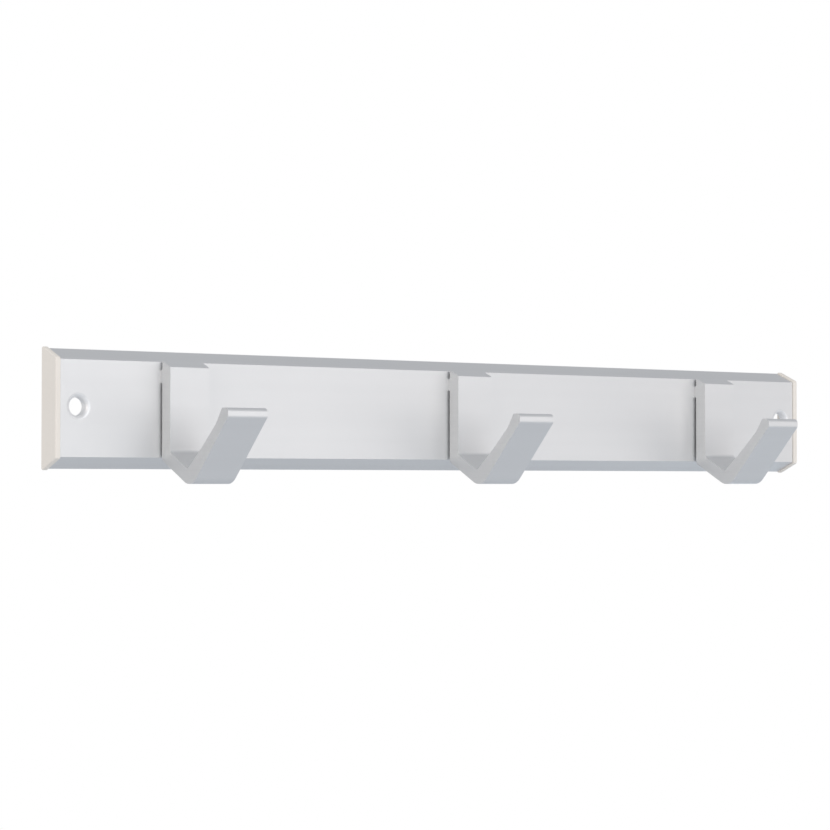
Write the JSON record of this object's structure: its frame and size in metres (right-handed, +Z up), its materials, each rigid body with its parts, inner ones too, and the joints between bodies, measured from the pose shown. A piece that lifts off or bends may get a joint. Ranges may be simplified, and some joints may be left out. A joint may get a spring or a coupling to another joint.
{
  "type": "wall hook rack",
  "caption": "Shallow bevelled metal rail with plastic end caps and a row of equal V-shaped hooks, screwed flat to a wall to hang coats, towels or tools.",
  "frame": {"origin": "centre of the rail's back, in the plane of the wall", "axes": "+X along the rail, +Y into the wall (the hooks stand out towards -Y), +Z up"},
  "size_m": [0.2788, 0.0402, 0.0367],
  "materials": {
    "anodised_aluminium": "satin natural anodised, fine extrusion lines, sawn ends on the hooks",
    "cap_plastic": "moulded warm off-white, fine even grain",
    "screw_zinc": "bright zinc plate"
  },
  "bodies": {
    "root": {"rail": "anodised_aluminium", "end_cap_left": "cap_plastic", "end_cap_right": "cap_plastic", "hook_left": "anodised_aluminium", "hook_middle": "anodised_aluminium", "hook_right": "anodised_aluminium", "hook_left_screw_1": "screw_zinc", "hook_left_screw_2": "screw_zinc", "hook_middle_screw_1": "screw_zinc", "hook_middle_screw_2": "screw_zinc", "hook_right_screw_1": "screw_zinc", "hook_right_screw_2": "screw_zinc"}
  },
  "joints": []
}
